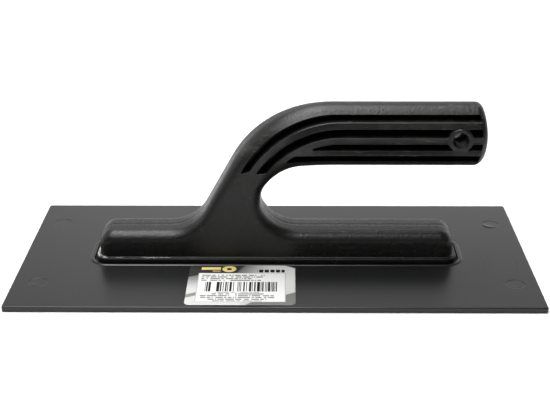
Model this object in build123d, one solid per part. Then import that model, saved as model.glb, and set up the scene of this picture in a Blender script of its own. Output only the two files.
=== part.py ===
"""Plastering float: a flat plastic blade with a glued-on, one-piece plastic handle.

Frame: millimetres, +Z up, origin at the middle of the blade's underside. +X runs along the blade
towards the free end of the grip, and Y runs across it.
"""

import math
import os

from build123d import *

# --- blade -------------------------------------------------------------------------------------
PLATE_LENGTH = 270.0
PLATE_WIDTH = 130.0
PLATE_THICKNESS = 3.0
PLATE_CORNER_RADIUS = 1.2
PLATE_TOP_EDGE_RADIUS = 0.6
PLATE_BOTTOM_EDGE_RADIUS = 0.3

# --- handle foot -------------------------------------------------------------------------------
FOOT_CENTRE_X = 0.4
FOOT_LENGTH = 189.0
FOOT_WIDTH = 25.0
FOOT_TOP_Z = 19.4
FOOT_END_RADIUS = 8.0
BODY_EDGE_RADIUS = 5.0

# --- flange at the foot's base, and the collar around it -----------------------------------------
FLANGE_OVERHANG = 1.9
FLANGE_HEIGHT = 2.7
FLANGE_PLAN_RADIUS = 7.0
FLANGE_EDGE_RADIUS = 0.6
CHANNEL_WIDTH = 0.6
COLLAR_WIDTH = 2.0
COLLAR_HEIGHT = 0.8
COLLAR_EDGE_RADIUS = 0.3

# --- adhesive ------------------------------------------------------------------------------------
ADHESIVE_DEPTH = 0.45
SQUEEZE_OUT_HEIGHT = 1.2
SQUEEZE_OUT_WIDTH = 1.5
SQUEEZE_OUT_REACH = 10.0

# --- neck, in side view ----------------------------------------------------------------------------
NECK_SLOPE = 61.0
NECK_FRONT_X = -43.8
NECK_FRONT_RADIUS = 23.0
NECK_BACK_X = -7.7
THROAT_LOW_X = 1.25
THROAT_LOW_Z = 32.0
THROAT_LOW_RADIUS = 20.5
THROAT_LOW_BACK_RADIUS = 12.0
THROAT_HIGH_X = 3.8
THROAT_HIGH_Z = 41.9
THROAT_HIGH_RADIUS = 23.0
THROAT_HIGH_BACK_RADIUS = 13.0

# --- grip --------------------------------------------------------------------------------------------
GRIP_TOP_Z = 87.9
GRIP_HEIGHT = 33.6
GRIP_WIDTH = 28.0
GRIP_END_X = 108.8
GRIP_CORNER_RADIUS = 13.8
GRIP_END_RADIUS = 3.6
BEND_RADIUS = 59.3
BEND_SECTION_ANGLES = (48.0, 32.0, 16.0, 0.0)
BEND_OVERLAP_ANGLE = 2.0
BEND_OVERLAP_INSET = 0.4

# --- side slots ----------------------------------------------------------------------------------------
# Each lip is level along the grip, then turns down the neck on an arc: (level, arc radius, arc start).
SLOT_1_TOP = (84.0, 54.0, 31.0)
SLOT_1_BOTTOM = (81.3, 54.0, 33.0)
SLOT_2_TOP = (77.3, 52.0, 34.2)
SLOT_2_BOTTOM = (73.6, 48.0, 34.2)
SLOT_3_LEVELS = (69.7, 66.2)
SLOT_4_LEVELS = (63.4, 59.9)
SLOT_END_X = 105.2
SLOT_LOWER_END_Z = 54.0
INNER_RIB_THICKNESS = 3.9
WEB_THICKNESS = 4.0

# --- hanging hole ----------------------------------------------------------------------------------------
HOLE_X = 94.8
HOLE_Z = 71.8
HOLE_DIAMETER = 8.0
BOSS_DIAMETER = 12.0
BOSS_HALF_LENGTH = 13.9

# --- hollow underside of the handle ------------------------------------------------------------------------
WALL = 2.6
RIB_THICKNESS = 2.0
RIB_COUNT = 5
NECK_POCKET_TOP_Z = 46.0
NECK_POCKET_WIDTH = 14.0
POCKET_CORNER_RADIUS = 1.5

# --- label ---------------------------------------------------------------------------------------------------
LABEL_LENGTH = 55.4
LABEL_WIDTH = 45.0
LABEL_THICKNESS = 0.12
LABEL_CORNER_RADIUS = 2.5
LABEL_CENTRE_X = -17.2
LABEL_CENTRE_Y = -40.1

# --- worked out from the sizes above -----------------------------------------------------------------------
FLANGE_TOP_Z = PLATE_THICKNESS + FLANGE_HEIGHT
FOOT_LEFT_X = FOOT_CENTRE_X - FOOT_LENGTH / 2
FOOT_RIGHT_X = FOOT_CENTRE_X + FOOT_LENGTH / 2
GRIP_BOTTOM_Z = GRIP_TOP_Z - GRIP_HEIGHT
NECK_TAN = math.tan(math.radians(NECK_SLOPE))
NECK_TOP_CORNER_X = NECK_FRONT_X + (GRIP_TOP_Z - FOOT_TOP_Z) / NECK_TAN
BEND_CENTRE_X = NECK_TOP_CORNER_X + BEND_RADIUS * math.tan(math.radians(NECK_SLOPE / 2))
BEND_CENTRE_Z = GRIP_TOP_Z - BEND_RADIUS
FLANGE_SIZE = (FOOT_LENGTH + 2 * FLANGE_OVERHANG, FOOT_WIDTH + 2 * FLANGE_OVERHANG)


def plan_outline(margin, radius, level):
    """A rounded rectangle around the flange, grown by margin on every side, at a level."""
    outline = RectangleRounded(FLANGE_SIZE[0] + 2 * margin, FLANGE_SIZE[1] + 2 * margin, radius)
    return Pos(FOOT_CENTRE_X, 0, level) * outline


def ring(inner_margin, outer_margin, low, high):
    """A closed band around the flange between two margins, from one level to another."""
    outer = plan_outline(outer_margin, FLANGE_PLAN_RADIUS + outer_margin, low)
    inner = plan_outline(inner_margin, FLANGE_PLAN_RADIUS + inner_margin, low)
    return extrude(outer - inner, high - low)


def side_profile():
    """The side view of foot, neck and grip, as one face in the XZ plane."""
    corners = [
        (FOOT_LEFT_X, PLATE_THICKNESS),
        (FOOT_LEFT_X, FOOT_TOP_Z),
        (NECK_FRONT_X, FOOT_TOP_Z),
        (NECK_TOP_CORNER_X, GRIP_TOP_Z),
        (GRIP_END_X, GRIP_TOP_Z),
        (GRIP_END_X, GRIP_BOTTOM_Z),
        (THROAT_HIGH_X, GRIP_BOTTOM_Z),
        (NECK_BACK_X, THROAT_HIGH_Z),
        (NECK_BACK_X, THROAT_LOW_Z),
        (THROAT_LOW_X, FOOT_TOP_Z),
        (FOOT_RIGHT_X, FOOT_TOP_Z),
        (FOOT_RIGHT_X, PLATE_THICKNESS),
    ]
    radii = [
        FOOT_END_RADIUS,
        NECK_FRONT_RADIUS,
        BEND_RADIUS,
        0,
        0,
        THROAT_HIGH_RADIUS,
        THROAT_HIGH_BACK_RADIUS,
        THROAT_LOW_BACK_RADIUS,
        THROAT_LOW_RADIUS,
        FOOT_END_RADIUS,
    ]
    outline = FilletPolyline(*corners, radius=radii)
    base = Line(corners[-1], corners[0])
    return Plane.XZ * make_face(outline + base)


def bend_direction(angle):
    """The unit vector from the bend's centre, at an angle turned back from straight up."""
    return Vector(-math.sin(math.radians(angle)), 0, math.cos(math.radians(angle)))


def lower_body(profile):
    """Foot and lower neck: the side view given its thickness, with rounded edges, up to the bend."""
    slab = extrude(profile, FOOT_WIDTH / 2, both=True)
    along = Plane(
        origin=(BEND_CENTRE_X, 0, BEND_CENTRE_Z),
        x_dir=(0, 1, 0),
        z_dir=(math.cos(math.radians(NECK_SLOPE)), 0, math.sin(math.radians(NECK_SLOPE))),
    )
    cutter = along * Box(200, 200, 200, align=(Align.CENTER, Align.CENTER, Align.MIN))
    keep = Pos(0, 0, FOOT_TOP_Z) * Box(600, 200, 200, align=(Align.CENTER, Align.CENTER, Align.MIN))
    body = (slab - (cutter & keep)).solids().sort_by(SortBy.VOLUME)[-1]
    side_edges = [
        edge
        for edge in body.edges()
        if abs(abs(edge.center().Y) - FOOT_WIDTH / 2) < 0.01
        and edge.center().Z > PLATE_THICKNESS + 0.5
        and abs(along.to_local_coords(edge.center()).Z) > 0.01
    ]
    return fillet(side_edges, BODY_EDGE_RADIUS)


def grip_section(angle, profile, inset=0.0):
    """The grip's cross-section where a line from the bend's centre, at an angle, cuts the side view."""
    share = max(1 - angle / NECK_SLOPE, 0)
    blend = share * share * (3 - 2 * share)
    centre = Vector(BEND_CENTRE_X, 0, BEND_CENTRE_Z)
    out = bend_direction(angle)
    cut = Line(centre, centre + out * (BEND_RADIUS + 5)) & profile
    height = cut.length - 2 * inset
    width = FOOT_WIDTH + (GRIP_WIDTH - FOOT_WIDTH) * blend - 2 * inset
    radius = BODY_EDGE_RADIUS + (GRIP_CORNER_RADIUS - BODY_EDGE_RADIUS) * blend - inset
    plane = Plane(origin=cut.center(), x_dir=out, z_dir=out.cross(Vector(0, 1, 0)))
    return plane * RectangleRounded(height, width, radius)


def grip(profile):
    """The oval grip: a bend that starts inside the neck and grows, then a bar with a soft end."""
    root = grip_section(NECK_SLOPE + BEND_OVERLAP_ANGLE, profile, BEND_OVERLAP_INSET)
    bend = loft([root] + [grip_section(angle, profile) for angle in BEND_SECTION_ANGLES])
    end_plane = Plane(
        origin=(BEND_CENTRE_X, 0, GRIP_TOP_Z - GRIP_HEIGHT / 2), x_dir=(0, 0, 1), z_dir=(1, 0, 0)
    )
    section = end_plane * RectangleRounded(GRIP_HEIGHT, GRIP_WIDTH, GRIP_CORNER_RADIUS)
    bar = extrude(section, GRIP_END_X - BEND_CENTRE_X)
    bar = fillet(bar.faces().sort_by(Axis.X)[-1].edges(), GRIP_END_RADIUS)
    return bend + bar


def below_lip(lip):
    """The region of the side view under a lip: a quarter disc joined to a level bar."""
    level, radius, start_x = lip
    disc = Pos(start_x, level - radius) * Circle(radius)
    bar = Pos(start_x, level - radius) * Rectangle(
        2 * GRIP_END_X, radius, align=(Align.MIN, Align.MIN)
    )
    return disc + bar


def slot_faces():
    """The four slots of one side, as faces in the XZ plane's own coordinates."""
    window = Pos((SLOT_END_X - GRIP_END_X) / 2, GRIP_TOP_Z / 2 + SLOT_LOWER_END_Z / 2) * Rectangle(
        SLOT_END_X + GRIP_END_X, GRIP_TOP_Z - SLOT_LOWER_END_Z
    )
    outer = (below_lip(SLOT_1_TOP) - below_lip(SLOT_1_BOTTOM)) & window
    second = (below_lip(SLOT_2_TOP) - below_lip(SLOT_2_BOTTOM)) & window
    level, radius, start_x = SLOT_2_BOTTOM
    inner_lip = (level - INNER_RIB_THICKNESS, radius - INNER_RIB_THICKNESS, start_x)
    inner_region = below_lip(inner_lip) & window
    bands = []
    for top, bottom in (SLOT_3_LEVELS, SLOT_4_LEVELS):
        band = Pos(start_x, (top + bottom) / 2) * Rectangle(4 * GRIP_END_X, top - bottom)
        bands.append(inner_region & band)
    return [outer, second, *bands]


def slots():
    """The slots of both sides, cut down to the middle web."""
    depth = GRIP_WIDTH
    cuts = []
    for face in slot_faces():
        for plane_y, sign in ((-WEB_THICKNESS / 2, 1), (WEB_THICKNESS / 2, -1)):
            placed = Pos(0, plane_y, 0) * (Plane.XZ * face)
            cuts.append(extrude(placed, sign * depth))
    return cuts


def across(diameter, half_length):
    """A cylinder across the grip at the hanging hole."""
    disc = Pos(HOLE_X, 0, HOLE_Z) * (Plane.XZ * Circle(diameter / 2))
    return extrude(disc, half_length, both=True)


def foot_pockets():
    """The hollow underside: pockets between cross ribs, and one that rises into the neck."""
    inner_length = FOOT_LENGTH - 2 * WALL - 2
    inner_width = FOOT_WIDTH - 2 * WALL
    top_z = FOOT_TOP_Z - WALL - 0.8
    cell = inner_length / (RIB_COUNT + 1)
    pockets = []
    for index in range(RIB_COUNT + 1):
        centre_x = FOOT_CENTRE_X - inner_length / 2 + cell * (index + 0.5)
        block = Box(
            cell - RIB_THICKNESS,
            inner_width,
            top_z - PLATE_THICKNESS,
            align=(Align.CENTER, Align.CENTER, Align.MIN),
        )
        block = fillet(block.edges().filter_by(Axis.Z), POCKET_CORNER_RADIUS)
        pockets.append(Pos(centre_x, 0, PLATE_THICKNESS) * block)
    front = NECK_FRONT_X + WALL + 3.0
    shift = (NECK_POCKET_TOP_Z - FOOT_TOP_Z) / NECK_TAN
    back = NECK_BACK_X - WALL - 1.5
    outline = Polyline(
        (front + 2, FOOT_TOP_Z - 5),
        (front + shift + 1, NECK_POCKET_TOP_Z),
        (back, NECK_POCKET_TOP_Z),
        (back, FOOT_TOP_Z - 5),
        close=True,
    )
    neck = extrude(Plane.XZ * make_face(outline), NECK_POCKET_WIDTH / 2, both=True)
    pockets.append(neck)
    return pockets


def make_handle():
    """The handle: foot with flange, neck and slotted grip, hollow from beneath."""
    profile = side_profile()
    body = lower_body(profile) + grip(profile)
    flange = extrude(plan_outline(0, FLANGE_PLAN_RADIUS, PLATE_THICKNESS), FLANGE_HEIGHT)
    flange = fillet(flange.faces().sort_by(Axis.Z)[-1].edges(), FLANGE_EDGE_RADIUS)
    body = body + flange
    for cut in slots():
        body = body - cut
    body = body + across(BOSS_DIAMETER, BOSS_HALF_LENGTH)
    body = body - across(HOLE_DIAMETER, GRIP_WIDTH)
    for pocket in foot_pockets():
        body = body - pocket
    return body


def make_plate():
    """The blade, with the collar around the handle's flange."""
    outline = RectangleRounded(PLATE_LENGTH, PLATE_WIDTH, PLATE_CORNER_RADIUS)
    blade = extrude(outline, PLATE_THICKNESS)
    blade = fillet(blade.faces().sort_by(Axis.Z)[-1].edges(), PLATE_TOP_EDGE_RADIUS)
    blade = fillet(blade.faces().sort_by(Axis.Z)[0].edges(), PLATE_BOTTOM_EDGE_RADIUS)
    collar = ring(
        CHANNEL_WIDTH,
        CHANNEL_WIDTH + COLLAR_WIDTH,
        PLATE_THICKNESS,
        PLATE_THICKNESS + COLLAR_HEIGHT,
    )
    collar = fillet(collar.faces().sort_by(Axis.Z)[-1].edges(), COLLAR_EDGE_RADIUS)
    return blade + collar


def make_adhesive():
    """The adhesive in the channel, and what was squeezed out over the collar at one end."""
    channel = ring(0, CHANNEL_WIDTH, PLATE_THICKNESS, PLATE_THICKNESS + ADHESIVE_DEPTH)
    channel_top = PLATE_THICKNESS + COLLAR_HEIGHT
    low = ring(0, CHANNEL_WIDTH, PLATE_THICKNESS, channel_top)
    high = ring(0, SQUEEZE_OUT_WIDTH, channel_top, channel_top + SQUEEZE_OUT_HEIGHT)
    end = Pos(FOOT_CENTRE_X - FLANGE_SIZE[0] / 2, 0, channel_top) * Box(
        2 * SQUEEZE_OUT_REACH, 2 * FLANGE_SIZE[1], 20
    )
    return channel + ((low + high) & end)


def make_label():
    """The paper sticker on the blade's top."""
    outline = RectangleRounded(LABEL_LENGTH, LABEL_WIDTH, LABEL_CORNER_RADIUS)
    placed = Pos(LABEL_CENTRE_X, LABEL_CENTRE_Y, PLATE_THICKNESS) * outline
    return extrude(placed, LABEL_THICKNESS)


def main():
    """Builds each piece and writes it under its own name."""
    os.makedirs("parts", exist_ok=True)
    pieces = {
        "float_plate": make_plate(),
        "handle": make_handle(),
        "adhesive_bead": make_adhesive(),
        "label": make_label(),
    }
    for name, shape in pieces.items():
        export_step(shape, f"parts/{name}.step")


main()
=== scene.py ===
"""A plastering float in its finished look: moulded handle, blade, adhesive and paper label."""

from __future__ import annotations

import logging
import math
from dataclasses import dataclass, field
from enum import Enum

import bpy
import numpy as np
from mathutils import Matrix, Vector
from mathutils.geometry import delaunay_2d_cdt


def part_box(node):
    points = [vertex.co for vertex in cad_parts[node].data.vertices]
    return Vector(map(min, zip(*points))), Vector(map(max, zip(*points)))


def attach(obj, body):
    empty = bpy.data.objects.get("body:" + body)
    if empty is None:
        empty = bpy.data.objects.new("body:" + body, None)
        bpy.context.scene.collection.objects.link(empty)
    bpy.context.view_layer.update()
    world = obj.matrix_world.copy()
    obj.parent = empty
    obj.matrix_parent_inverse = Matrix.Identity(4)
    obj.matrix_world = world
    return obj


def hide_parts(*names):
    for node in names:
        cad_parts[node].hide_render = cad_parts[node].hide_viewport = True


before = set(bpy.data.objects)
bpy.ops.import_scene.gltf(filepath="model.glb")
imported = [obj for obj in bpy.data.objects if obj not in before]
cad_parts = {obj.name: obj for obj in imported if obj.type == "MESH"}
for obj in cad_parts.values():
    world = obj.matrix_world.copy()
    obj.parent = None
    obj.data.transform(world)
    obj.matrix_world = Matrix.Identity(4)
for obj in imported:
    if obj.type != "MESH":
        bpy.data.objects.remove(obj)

Colour = tuple[float, float, float]
Box = tuple[float, float, float, float]

LOG = logging.getLogger("float")
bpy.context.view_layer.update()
MM = 0.001
TINY = 1e-9

# Millimetres: the blade's top, the plan of the foot's flange, the usual spacing along a ring, and the
# long and short side that set a rounded rectangle's count of points, whatever its size.
BLADE_TOP = 3.0
FLANGE_X = 0.4
FLANGE_HALF = (96.4, 14.4)
FLANGE_CORNER = 7.0
SPACING = 3.0
NOMINAL_SIDES = (190, 26)


class Slot(Enum):
    """The record's material slots."""

    HANDLE = "handle_plastic"
    BLADE = "blade_plastic"
    GLUE = "adhesive"
    LABEL = "label_paper"


# ------------------------------------------------------------------------------------- plane geometry


def resample(points: np.ndarray, step: float, closed: bool) -> np.ndarray:
    """Spreads points evenly along a line, by interpolating over its running length.

    Args:
        points: The line's points, one row each.
        step: The wanted spacing.
        closed: Whether the last point joins the first.

    Returns:
        The evenly spaced points; a closed line's first point isn't repeated.
    """
    line = np.vstack([points, points[:1]]) if closed else points
    run = np.concatenate([[0.0], np.cumsum(np.linalg.norm(np.diff(line, axis=0), axis=1))])
    count = max(int(round(run[-1] / step)), 8)
    at = np.linspace(0.0, run[-1], count + 1)
    spread = np.stack([np.interp(at, run, line[:, k]) for k in range(line.shape[1])], axis=1)
    return spread[:-1] if closed else spread


def soften(loop: np.ndarray, width: float) -> np.ndarray:
    """Rounds a closed loop's corners: each point becomes a bell-weighted mean of its neighbours.

    Args:
        loop: Evenly spaced points of a closed loop.
        width: The bell's width in steps.

    Returns:
        The rounded loop.
    """
    reach = int(math.ceil(3 * width))
    offsets = np.arange(-reach, reach + 1)
    weights = np.exp(-0.5 * (offsets / width) ** 2)
    shifted = np.stack([np.roll(loop, -k, axis=0) for k in offsets])
    return np.tensordot(weights / weights.sum(), shifted, axes=1)


def smooth_values(values: np.ndarray, reach: int) -> np.ndarray:
    """The running mean of an open row of values, with its ends held.

    Args:
        values: The values.
        reach: How many neighbours on each side count.

    Returns:
        The smoothed values.
    """
    padded = np.pad(values, reach, mode="edge")
    kernel = np.ones(2 * reach + 1) / (2 * reach + 1)
    return np.convolve(padded, kernel, mode="valid")


def normals_right(line: np.ndarray, closed: bool) -> np.ndarray:
    """The unit normals on the right of the direction of travel, from central differences.

    Args:
        line: The line's points.
        closed: Whether the last point joins the first.

    Returns:
        One normal for each point.
    """
    if closed:
        along = np.roll(line, -1, axis=0) - np.roll(line, 1, axis=0)
    else:
        along = np.gradient(line, axis=0)
    along /= np.maximum(np.linalg.norm(along, axis=1, keepdims=True), TINY)
    return np.stack([along[:, 1], -along[:, 0]], axis=1)


def signed_area(loop: np.ndarray) -> float:
    """A closed loop's area by the shoelace sum, positive when it turns left."""
    nxt = np.roll(loop, -1, axis=0)
    return float(np.sum(loop[:, 0] * nxt[:, 1] - nxt[:, 0] * loop[:, 1]) / 2)


def distance_to(points: np.ndarray, line: np.ndarray) -> np.ndarray:
    """Each point's distance to a line of segments: the least over all segments' nearest points.

    Args:
        points: The points, worked through in batches to spare memory.
        line: The line's points.

    Returns:
        One distance for each point.
    """
    start, along = line[:-1], np.diff(line, axis=0)
    square = np.maximum((along**2).sum(axis=1), TINY**2)
    result = np.empty(len(points))
    for low in range(0, len(points), 2000):
        part = points[low : low + 2000, None, :]
        share = np.clip(((part - start) * along).sum(axis=2) / square, 0.0, 1.0)
        gap = part - (start + share[:, :, None] * along)
        result[low : low + 2000] = np.sqrt((gap**2).sum(axis=2)).min(axis=1)
    return result


def inside(points: np.ndarray, loop: np.ndarray) -> np.ndarray:
    """Whether each point lies in a closed loop, by counting crossings of a ray to the right.

    Args:
        points: The points, worked through in batches to spare memory.
        loop: The loop's points.

    Returns:
        True for each point inside.
    """
    a, b = loop, np.roll(loop, -1, axis=0)
    rise = np.where(np.abs(b[:, 1] - a[:, 1]) < TINY, TINY, b[:, 1] - a[:, 1])
    result = np.zeros(len(points), bool)
    for low in range(0, len(points), 4000):
        x, y = points[low : low + 4000, 0, None], points[low : low + 4000, 1, None]
        spans = (a[:, 1] > y) != (b[:, 1] > y)
        crossing = a[:, 0] + (y - a[:, 1]) * (b[:, 0] - a[:, 0]) / rise
        result[low : low + 4000] = ((spans & (x < crossing)).sum(axis=1) % 2) == 1
    return result


def rounded_path(corners: np.ndarray, radii: np.ndarray) -> np.ndarray:
    """An open line with arcs in its corners: each arc touches both sides at radius x tan(turn / 2).

    Args:
        corners: The corner points.
        radii: One radius for each inner corner.

    Returns:
        The line's points, with 24 on each arc.
    """
    rows = [corners[:1]]
    for before, corner, after, radius in zip(corners[:-2], corners[1:-1], corners[2:], radii):
        back = (before - corner) / np.linalg.norm(before - corner)
        ahead = (after - corner) / np.linalg.norm(after - corner)
        half = math.acos(float(np.clip(back @ ahead, -1, 1))) / 2
        middle = (back + ahead) / np.linalg.norm(back + ahead)
        centre = corner + middle * radius / math.sin(half)
        first = corner + back * radius / math.tan(half) - centre
        last = corner + ahead * radius / math.tan(half) - centre
        turn = math.acos(float(np.clip(first @ last / radius**2, -1, 1)))
        share = np.linspace(0, 1, 24)[:, None]
        arc = (np.sin((1 - share) * turn) * first + np.sin(share * turn) * last) / math.sin(turn)
        rows.append(centre + arc)
    rows.append(corners[-1:])
    return np.vstack(rows)


def rounded_rectangle(half_x: float, half_y: float, radius: float, step: float) -> np.ndarray:
    """A rounded rectangle about the origin, turning left, with the same count for every size.

    Args:
        half_x: Half its length.
        half_y: Half its width.
        radius: Its corner radius.
        step: The spacing on the straight sides of a rectangle of the nominal size.

    Returns:
        The loop's points.
    """
    radius = min(max(radius, 0.05), half_x - 0.01, half_y - 0.01)
    turns = np.linspace(0, math.pi / 2, 13)
    counts = [max(int(side / step), least) for side, least in zip(NOMINAL_SIDES, (12, 6))]
    arcs = []
    for quarter, (sx, sy) in enumerate(((1, 1), (-1, 1), (-1, -1), (1, -1))):
        centre = np.array([sx * (half_x - radius), sy * (half_y - radius)])
        angle = turns + quarter * math.pi / 2
        arcs.append(centre + radius * np.stack([np.cos(angle), np.sin(angle)], axis=1))
    pieces = []
    for quarter, (arc, after) in enumerate(zip(arcs, arcs[1:] + arcs[:1])):
        share = np.linspace(0, 1, counts[quarter % 2] + 1)[1:-1, None]
        pieces += [arc, arc[-1] * (1 - share) + after[0] * share]
    return np.vstack(pieces)


def around_flange(margin: float) -> np.ndarray:
    """The flange's outline in plan, moved outwards by a margin."""
    loop = rounded_rectangle(*(half + margin for half in FLANGE_HALF), FLANGE_CORNER + margin, SPACING)
    return loop + np.array([FLANGE_X, 0.0])


def raised(loop: np.ndarray, height: float | np.ndarray) -> np.ndarray:
    """Points in plan, put at a height."""
    return np.column_stack([loop, np.broadcast_to(height, len(loop))])


def eased(value: np.ndarray, over: float) -> np.ndarray:
    """A soft step: nought below nought, one above the given width, and 3t^2 - 2t^3 between."""
    share = np.clip(value / over, 0, 1)
    return share * share * (3 - 2 * share)


def circle(centre: tuple[float, float] | np.ndarray, radius: float, count: int) -> np.ndarray:
    """A circle's points, turning left."""
    angle = np.linspace(0, 2 * math.pi, count, endpoint=False)
    return np.array(centre) + radius * np.stack([np.cos(angle), np.sin(angle)], axis=1)


def wobble(points: np.ndarray, seed: int, scale: float) -> np.ndarray:
    """A smooth, seeded waviness from -1 to 1: the mean of eight sine waves in chance directions.

    Args:
        points: Where it is worked out.
        seed: The seed of the chance directions, paces and starts.
        scale: The waves' rough length.

    Returns:
        One value for each point.
    """
    chance = np.random.default_rng(seed)
    waves = 8
    total = np.zeros(len(points))
    for _ in range(waves):
        direction = chance.normal(size=points.shape[1])
        pace = 2 * math.pi / scale * chance.uniform(0.6, 1.6)
        direction *= pace / np.linalg.norm(direction)
        total += np.sin(points @ direction + chance.uniform(0, 2 * math.pi))
    return total / waves


# --------------------------------------------------------------------------------------- mesh building


@dataclass
class MeshBuilder:
    """Collects vertices and faces, in millimetres, and makes them one Blender object."""

    name: str
    rows: list[np.ndarray] = field(default_factory=list)
    faces: list[tuple[int, ...]] = field(default_factory=list)
    count: int = 0

    def add(self, points: np.ndarray) -> np.ndarray:
        """Adds vertices.

        Args:
            points: One vertex a row.

        Returns:
            The vertices' numbers.
        """
        self.rows.append(np.asarray(points, float))
        numbers = np.arange(self.count, self.count + len(points))
        self.count += len(points)
        return numbers

    def bridge(self, first: np.ndarray, second: np.ndarray, closed: bool) -> None:
        """Joins two rows of vertices of the same length with four-sided faces.

        Args:
            first: One row's vertex numbers.
            second: The other row's.
            closed: Whether the rows are rings.
        """
        a, b = (np.append(first, first[0]), np.append(second, second[0])) if closed else (first, second)
        self.faces += [tuple(f) for f in np.stack([a[:-1], a[1:], b[1:], b[:-1]], axis=1).tolist()]

    def join(self, rows: list[np.ndarray], closed: bool) -> None:
        """Joins each row of vertices to the next."""
        for first, second in zip(rows[:-1], rows[1:]):
            self.bridge(first, second, closed)

    def loft(self, rings: list[np.ndarray]) -> list[np.ndarray]:
        """Adds closed rings and joins each to the next.

        Args:
            rings: The rings' points, all of the same count.

        Returns:
            Each ring's vertex numbers.
        """
        made = [self.add(ring) for ring in rings]
        self.join(made, True)
        return made

    def cap(self, ring: np.ndarray) -> None:
        """Closes a ring with one flat face."""
        self.faces.append(tuple(int(k) for k in ring))

    def build(self, slot: Slot, node: str, sharp: float) -> bpy.types.Object:
        """Makes the object, rides it on the root body and hides the CAD node it stands for.

        Args:
            slot: The record's material slot; not used.
            node: The CAD node it stands for.
            sharp: The angle, in degrees, above which an edge stays sharp.

        Returns:
            The finished object.
        """
        mesh = bpy.data.meshes.new(self.name)
        mesh.from_pydata((np.vstack(self.rows) * MM).tolist(), [], self.faces)
        mesh.update()
        mesh.polygons.foreach_set("use_smooth", np.ones(len(mesh.polygons), bool))
        mesh.set_sharp_from_angle(angle=math.radians(sharp))
        mesh.validate()
        piece = bpy.data.objects.new(self.name, mesh)
        bpy.context.scene.collection.objects.link(piece)
        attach(piece, "root")
        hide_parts(node)
        return piece


def triangulate(points: np.ndarray, edges: np.ndarray) -> tuple[np.ndarray, np.ndarray]:
    """Delaunay triangles over points in the plane that keep the given edges.

    Args:
        points: The points.
        edges: Pairs of point numbers.

    Returns:
        The triangles as point numbers, turning left, and the middle of each.
    """
    found = delaunay_2d_cdt([Vector(p) for p in points.tolist()], edges.tolist(), [], 0, 1e-5)
    origin = np.array([o[0] if o else -1 for o in found[3]])
    triangles = origin[np.array([f for f in found[2] if len(f) == 3])]
    triangles = triangles[(triangles >= 0).all(axis=1)]
    corner = points[triangles]
    first, second = corner[:, 1] - corner[:, 0], corner[:, 2] - corner[:, 0]
    turn = first[:, 0] * second[:, 1] - first[:, 1] * second[:, 0]
    triangles[turn < 0] = triangles[turn < 0][:, ::-1]
    triangles = triangles[np.abs(turn) > TINY]
    return triangles, points[triangles].mean(axis=1)


class Patch:
    """An area between closed rings, filled with triangles that keep the rings' edges.

    The rings are points in the plane of a vertex's first two parts. A triangle stays when its middle
    lies inside the outer ring and in none of the gaps.
    """

    def __init__(self, builder: MeshBuilder, edge: np.ndarray, numbers: np.ndarray) -> None:
        """Starts from the outer ring.

        Args:
            builder: Where the faces go.
            edge: The outer ring in plan.
            numbers: Its vertex numbers.
        """
        self.builder = builder
        self.rings, self.numbers = [edge], [numbers]
        self.gaps: list[tuple[np.ndarray, np.ndarray | None]] = []

    def cut(self, rings: list[np.ndarray], numbers: list[np.ndarray]) -> None:
        """Leaves a gap inside one ring, or between an outer and an inner one.

        Args:
            rings: The gap's outer ring in plan, and its inner one where it has one.
            numbers: The rings' vertex numbers.
        """
        self.rings += rings
        self.numbers += numbers
        self.gaps.append((rings[0], rings[1] if len(rings) > 1 else None))

    def holds(self, points: np.ndarray) -> np.ndarray:
        """Whether each point lies inside the outer ring and in none of the gaps."""
        held = inside(points, self.rings[0])
        for outer, inner in self.gaps:
            gap = inside(points, outer)
            held &= ~gap if inner is None else ~(gap & ~inside(points, inner))
        return held

    def scatter(self, across: np.ndarray, margin: float) -> np.ndarray:
        """The points of a grid that lie in the area and clear of its rings.

        Args:
            across: The grid's points.
            margin: The least distance from a ring.

        Returns:
            The points that are left.
        """
        across = across[self.holds(across)]
        for ring in self.rings:
            across = across[distance_to(across, np.vstack([ring, ring[:1]])) > margin]
        return across

    def fill(self, points: np.ndarray) -> None:
        """Adds the scattered points and the triangles over them and the rings."""
        starts = np.cumsum([0] + [len(ring) for ring in self.rings])
        edges = [ring_edges(start, len(ring)) for start, ring in zip(starts, self.rings)]
        numbers = np.concatenate([*self.numbers, self.builder.add(points)])
        triangles, middles = triangulate(np.vstack([*self.rings, points[:, :2]]), np.vstack(edges))
        chosen = numbers[triangles[self.holds(middles)]]
        self.builder.faces += [tuple(f) for f in chosen.tolist()]


def ring_edges(start: int, count: int) -> np.ndarray:
    """The edges of a closed ring of points numbered from start."""
    numbers = start + np.arange(count)
    return np.stack([numbers, np.roll(numbers, -1)], axis=1)


# ---------------------------------------------------------------------------------------------- shaders


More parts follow.
